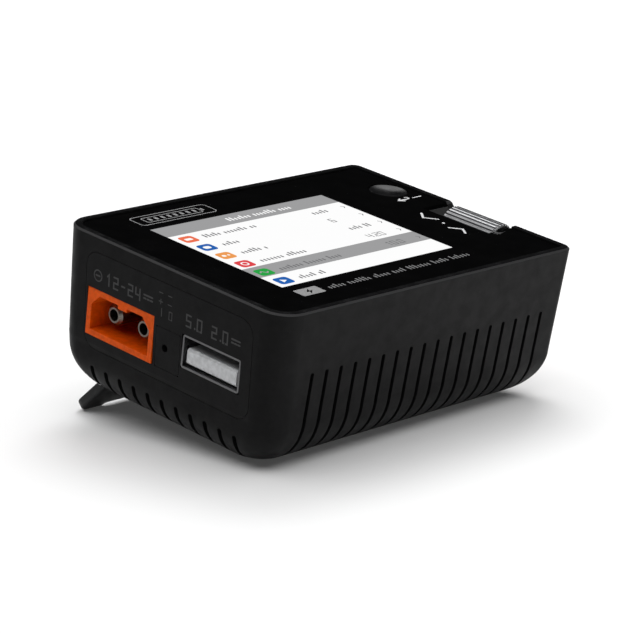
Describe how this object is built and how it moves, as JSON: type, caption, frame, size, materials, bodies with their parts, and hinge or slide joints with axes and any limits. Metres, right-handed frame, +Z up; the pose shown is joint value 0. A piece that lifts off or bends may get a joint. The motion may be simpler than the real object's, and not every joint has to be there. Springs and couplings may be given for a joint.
{
  "type": "balance battery charger",
  "caption": "Pocket balance charger for model batteries: tapered matte case, glossy display panel, scroll wheel, round button, power inlet, USB port and fold-out leg.",
  "frame": {"origin": "centre of the bounding box on the table that the charger stands on, with its leg out", "axes": "+X to the user's right along the long side, +Y to the back, +Z up from the table; the case leans 8.42 degrees, back edge high, about X"},
  "size_m": [0.0772, 0.0556, 0.0342],
  "materials": {
    "case": "fine moulded texture",
    "gloss_panel": "polished",
    "display": "lit panel behind a clear film",
    "white_plastic": "satin",
    "connector_white": "satin nylon",
    "ribbon": "polyimide",
    "button": "satin",
    "black_plastic": "satin",
    "wheel_metal": "turned and ridged",
    "steel": "satin",
    "board": "solder mask",
    "orange_nylon": "semi-gloss nylon",
    "contact_metal": "plated",
    "nickel": "stamped, nickel plated",
    "gold": "plated",
    "ferrite": "pressed powder",
    "silicone": "soft",
    "heat_sink": "black anodised",
    "capacitor": "sleeved can",
    "rubber": "matte"
  },
  "bodies": {
    "case": {"lower_case": "case", "left_port_plate": "case", "right_port_plate": "case", "service_cover": "case", "top_frame": "case", "front_lens": "gloss_panel", "lcd_glass": "display", "lcd_backlight": "white_plastic", "lcd_ribbon": "ribbon", "ribbon_socket": "connector_white", "exit_switch": "black_plastic", "wheel_switch": "black_plastic", "control_board": "board", "control_screws": "steel", "board_header": "black_plastic", "main_board": "board", "main_board_screws": "steel", "inlet_housing": "orange_nylon", "inlet_pins": "contact_metal", "outlet_housing": "orange_nylon", "outlet_sockets": "contact_metal", "balance_housing": "connector_white", "balance_pins": "steel", "usb_shell": "nickel", "usb_insert": "white_plastic", "usb_contacts": "gold", "power_inductor": "ferrite", "power_transistors": "black_plastic", "thermal_pad": "silicone", "heat_sink": "heat_sink", "capacitors": "capacitor", "controller_chip": "black_plastic", "buzzer": "black_plastic", "fan_frame": "black_plastic", "fan_screws": "steel", "hinge_pin": "steel", "rubber_feet": "rubber"},
    "leg": {"stand_leg": "case"},
    "exit": {"exit_button": "button", "exit_plunger": "black_plastic"},
    "cradle": {"wheel_cradle": "black_plastic", "wheel_encoder": "black_plastic", "wheel_plunger": "white_plastic"},
    "wheel": {"scroll_wheel": "wheel_metal", "wheel_axle": "steel"},
    "rotor": {"fan_rotor": "black_plastic"}
  },
  "joints": [
    {"name": "leg_hinge", "type": "hinge", "parent": "case", "child": "leg", "pos_m": [-0.00448, 0.01909, 0.00712], "axis": [1, 0, 0], "range_deg": [-133, 0]},
    {"name": "exit_press", "type": "slide", "parent": "case", "child": "exit", "axis": [0, 0.1464, -0.9892], "range_m": [0, 0.0005], "stiffness_N_per_m": 400, "springref_m": -0.0004},
    {"name": "wheel_press", "type": "slide", "parent": "case", "child": "cradle", "axis": [0, 0.1464, -0.9892], "range_m": [0, 0.0003], "stiffness_N_per_m": 400, "springref_m": -0.0004},
    {"name": "wheel_spin", "type": "hinge", "parent": "cradle", "child": "wheel", "pos_m": [0.02682, -0.009, 0.02652], "axis": [0, 0.9892, 0.1464], "continuous": true},
    {"name": "fan_spin", "type": "hinge", "parent": "case", "child": "rotor", "pos_m": [-0.00448, -0.00474, 0.00966], "axis": [0, -0.1464, 0.9892], "continuous": true}
  ]
}
